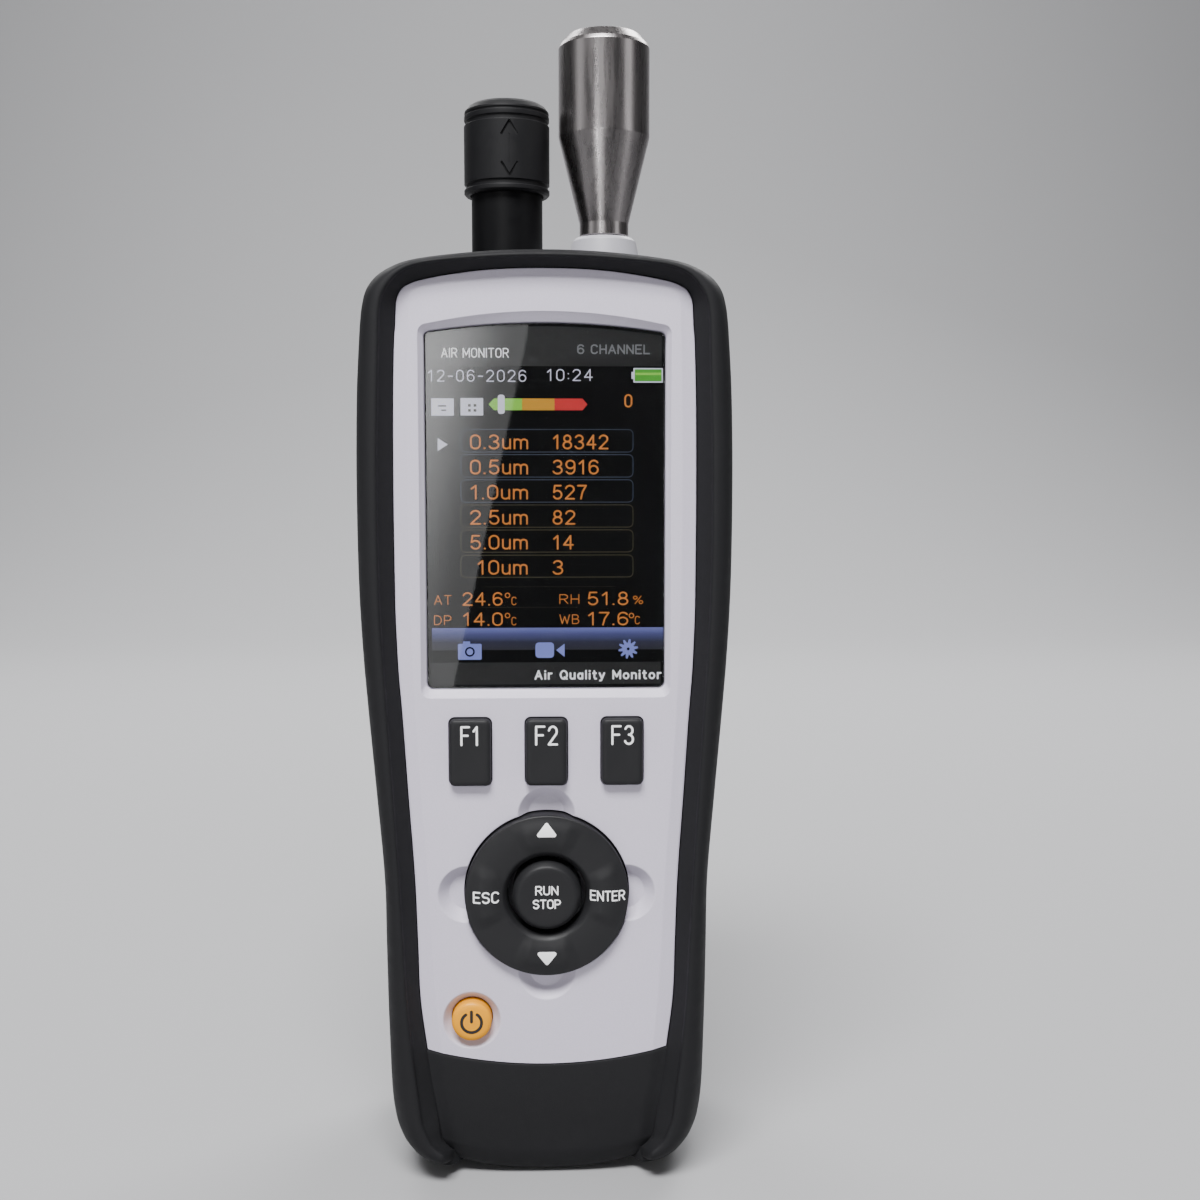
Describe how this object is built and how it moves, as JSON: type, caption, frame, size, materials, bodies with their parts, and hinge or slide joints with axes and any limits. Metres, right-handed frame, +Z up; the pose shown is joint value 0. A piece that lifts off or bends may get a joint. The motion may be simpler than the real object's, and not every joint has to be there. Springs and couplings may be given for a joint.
{
  "type": "handheld air quality monitor",
  "caption": "Handheld air quality monitor with display, soft keys, four-way pad, sampling probe, sliding sensor guard, rear camera, fold-out stand and tripod socket.",
  "frame": {"origin": "centre of the whole object's box, at its base plane", "axes": "+Z up along the height, front and display face -Y, +X to the right seen from the front"},
  "size_m": [0.0754, 0.057, 0.2387],
  "materials": {
    "panel": "fine matt moulded texture, light lilac grey",
    "rubber": "soft matt overmould",
    "shell": "fine spark texture, dark grey",
    "key": "matt keycap",
    "pad": "matt keycap",
    "orange": "satin amber keycap",
    "glass": "dark tinted gloss window",
    "lcd": "display module, dark glass in a steel frame",
    "foam": "closed-cell foam",
    "mat": "silicone rubber",
    "board": "green circuit board",
    "steel": "turned and brushed",
    "collar": "pale grey moulded plastic",
    "black": "black moulded plastic",
    "silicone": "translucent silicone tube",
    "brass": "turned brass",
    "alu": "machined aluminium",
    "battery": "heat-shrink sleeve",
    "white": "white filter capsule",
    "gold": "gilt contacts"
  },
  "bodies": {
    "housing": {"front_cover": "panel", "bumper_overmould": "rubber", "rear_cover": "shell", "battery_door": "shell", "battery_door_screw": "steel", "case_screw_1": "steel", "case_screw_2": "steel", "case_screw_3": "steel", "case_screw_4": "steel", "stand_hinge_pin": "steel", "tripod_insert": "brass", "camera_bezel": "black", "camera_lens": "glass", "camera_module": "black", "dc_jack": "black", "card_socket": "steel", "usb_port": "steel", "port_board": "board", "display_window": "glass", "display_gasket": "foam", "display_module": "lcd", "keypad_mat": "mat", "key_board": "board", "main_board": "board", "buzzer": "black", "sensor_stem": "black", "sensor_element": "board", "inlet_collar": "collar", "isokinetic_probe": "steel", "inlet_tube": "silicone", "optical_chamber": "alu", "laser_diode": "brass", "photodetector": "gold", "suction_tube": "silicone", "pump_head": "black", "pump_motor": "alu", "exhaust_tube": "silicone", "exhaust_filter": "white", "battery_pack": "battery", "battery_contacts": "gold"},
    "key_f1": {"key_f1": "key"},
    "key_f2": {"key_f2": "key"},
    "key_f3": {"key_f3": "key"},
    "dpad_web": {"dpad_rocker_web": "mat"},
    "dpad": {"dpad_ring": "pad"},
    "run_stop": {"run_stop_button": "key"},
    "power_key": {"power_button": "orange"},
    "guard": {"sensor_guard": "black"},
    "stand": {"kickstand": "shell"},
    "flap": {"port_flap": "rubber"},
    "eccentric": {"pump_eccentric": "steel"}
  },
  "joints": [
    {"name": "f1_press", "type": "slide", "parent": "housing", "child": "key_f1", "axis": [0, 1, 0], "range_m": [0, 0.0008], "stiffness_N_per_m": 800},
    {"name": "f2_press", "type": "slide", "parent": "housing", "child": "key_f2", "axis": [0, 1, 0], "range_m": [0, 0.0008], "stiffness_N_per_m": 800},
    {"name": "f3_press", "type": "slide", "parent": "housing", "child": "key_f3", "axis": [0, 1, 0], "range_m": [0, 0.0008], "stiffness_N_per_m": 800},
    {"name": "run_stop_press", "type": "slide", "parent": "housing", "child": "run_stop", "axis": [0, 1, 0], "range_m": [0, 0.0008], "stiffness_N_per_m": 800},
    {"name": "power_press", "type": "slide", "parent": "housing", "child": "power_key", "axis": [0, 1, 0], "range_m": [0, 0.0008], "stiffness_N_per_m": 800},
    {"name": "dpad_rock_up_down", "type": "hinge", "parent": "housing", "child": "dpad_web", "pos_m": [0, -0.021, 0.06065], "axis": [1, 0, 0], "range_deg": [-2.5, 2.5], "stiffness_Nm_per_rad": 0.4},
    {"name": "dpad_rock_left_right", "type": "hinge", "parent": "dpad_web", "child": "dpad", "pos_m": [0, -0.021, 0.06065], "axis": [0, 0, 1], "range_deg": [-2.5, 2.5], "stiffness_Nm_per_rad": 0.4},
    {"name": "guard_slide", "type": "slide", "parent": "housing", "child": "guard", "axis": [0, 0, -1], "range_m": [0, 0.012]},
    {"name": "stand_fold", "type": "hinge", "parent": "housing", "child": "stand", "pos_m": [0, 0.0212, 0.117], "axis": [1, 0, 0], "range_deg": [0, 40]},
    {"name": "flap_open", "type": "hinge", "parent": "housing", "child": "flap", "pos_m": [-0.03775, 0.01415, 0.118], "axis": [0, 0, -1], "range_deg": [0, 100]},
    {"name": "pump_spin", "type": "hinge", "parent": "housing", "child": "eccentric", "pos_m": [0, 0.002, 0.112], "axis": [0, 0, 1], "continuous": true}
  ]
}
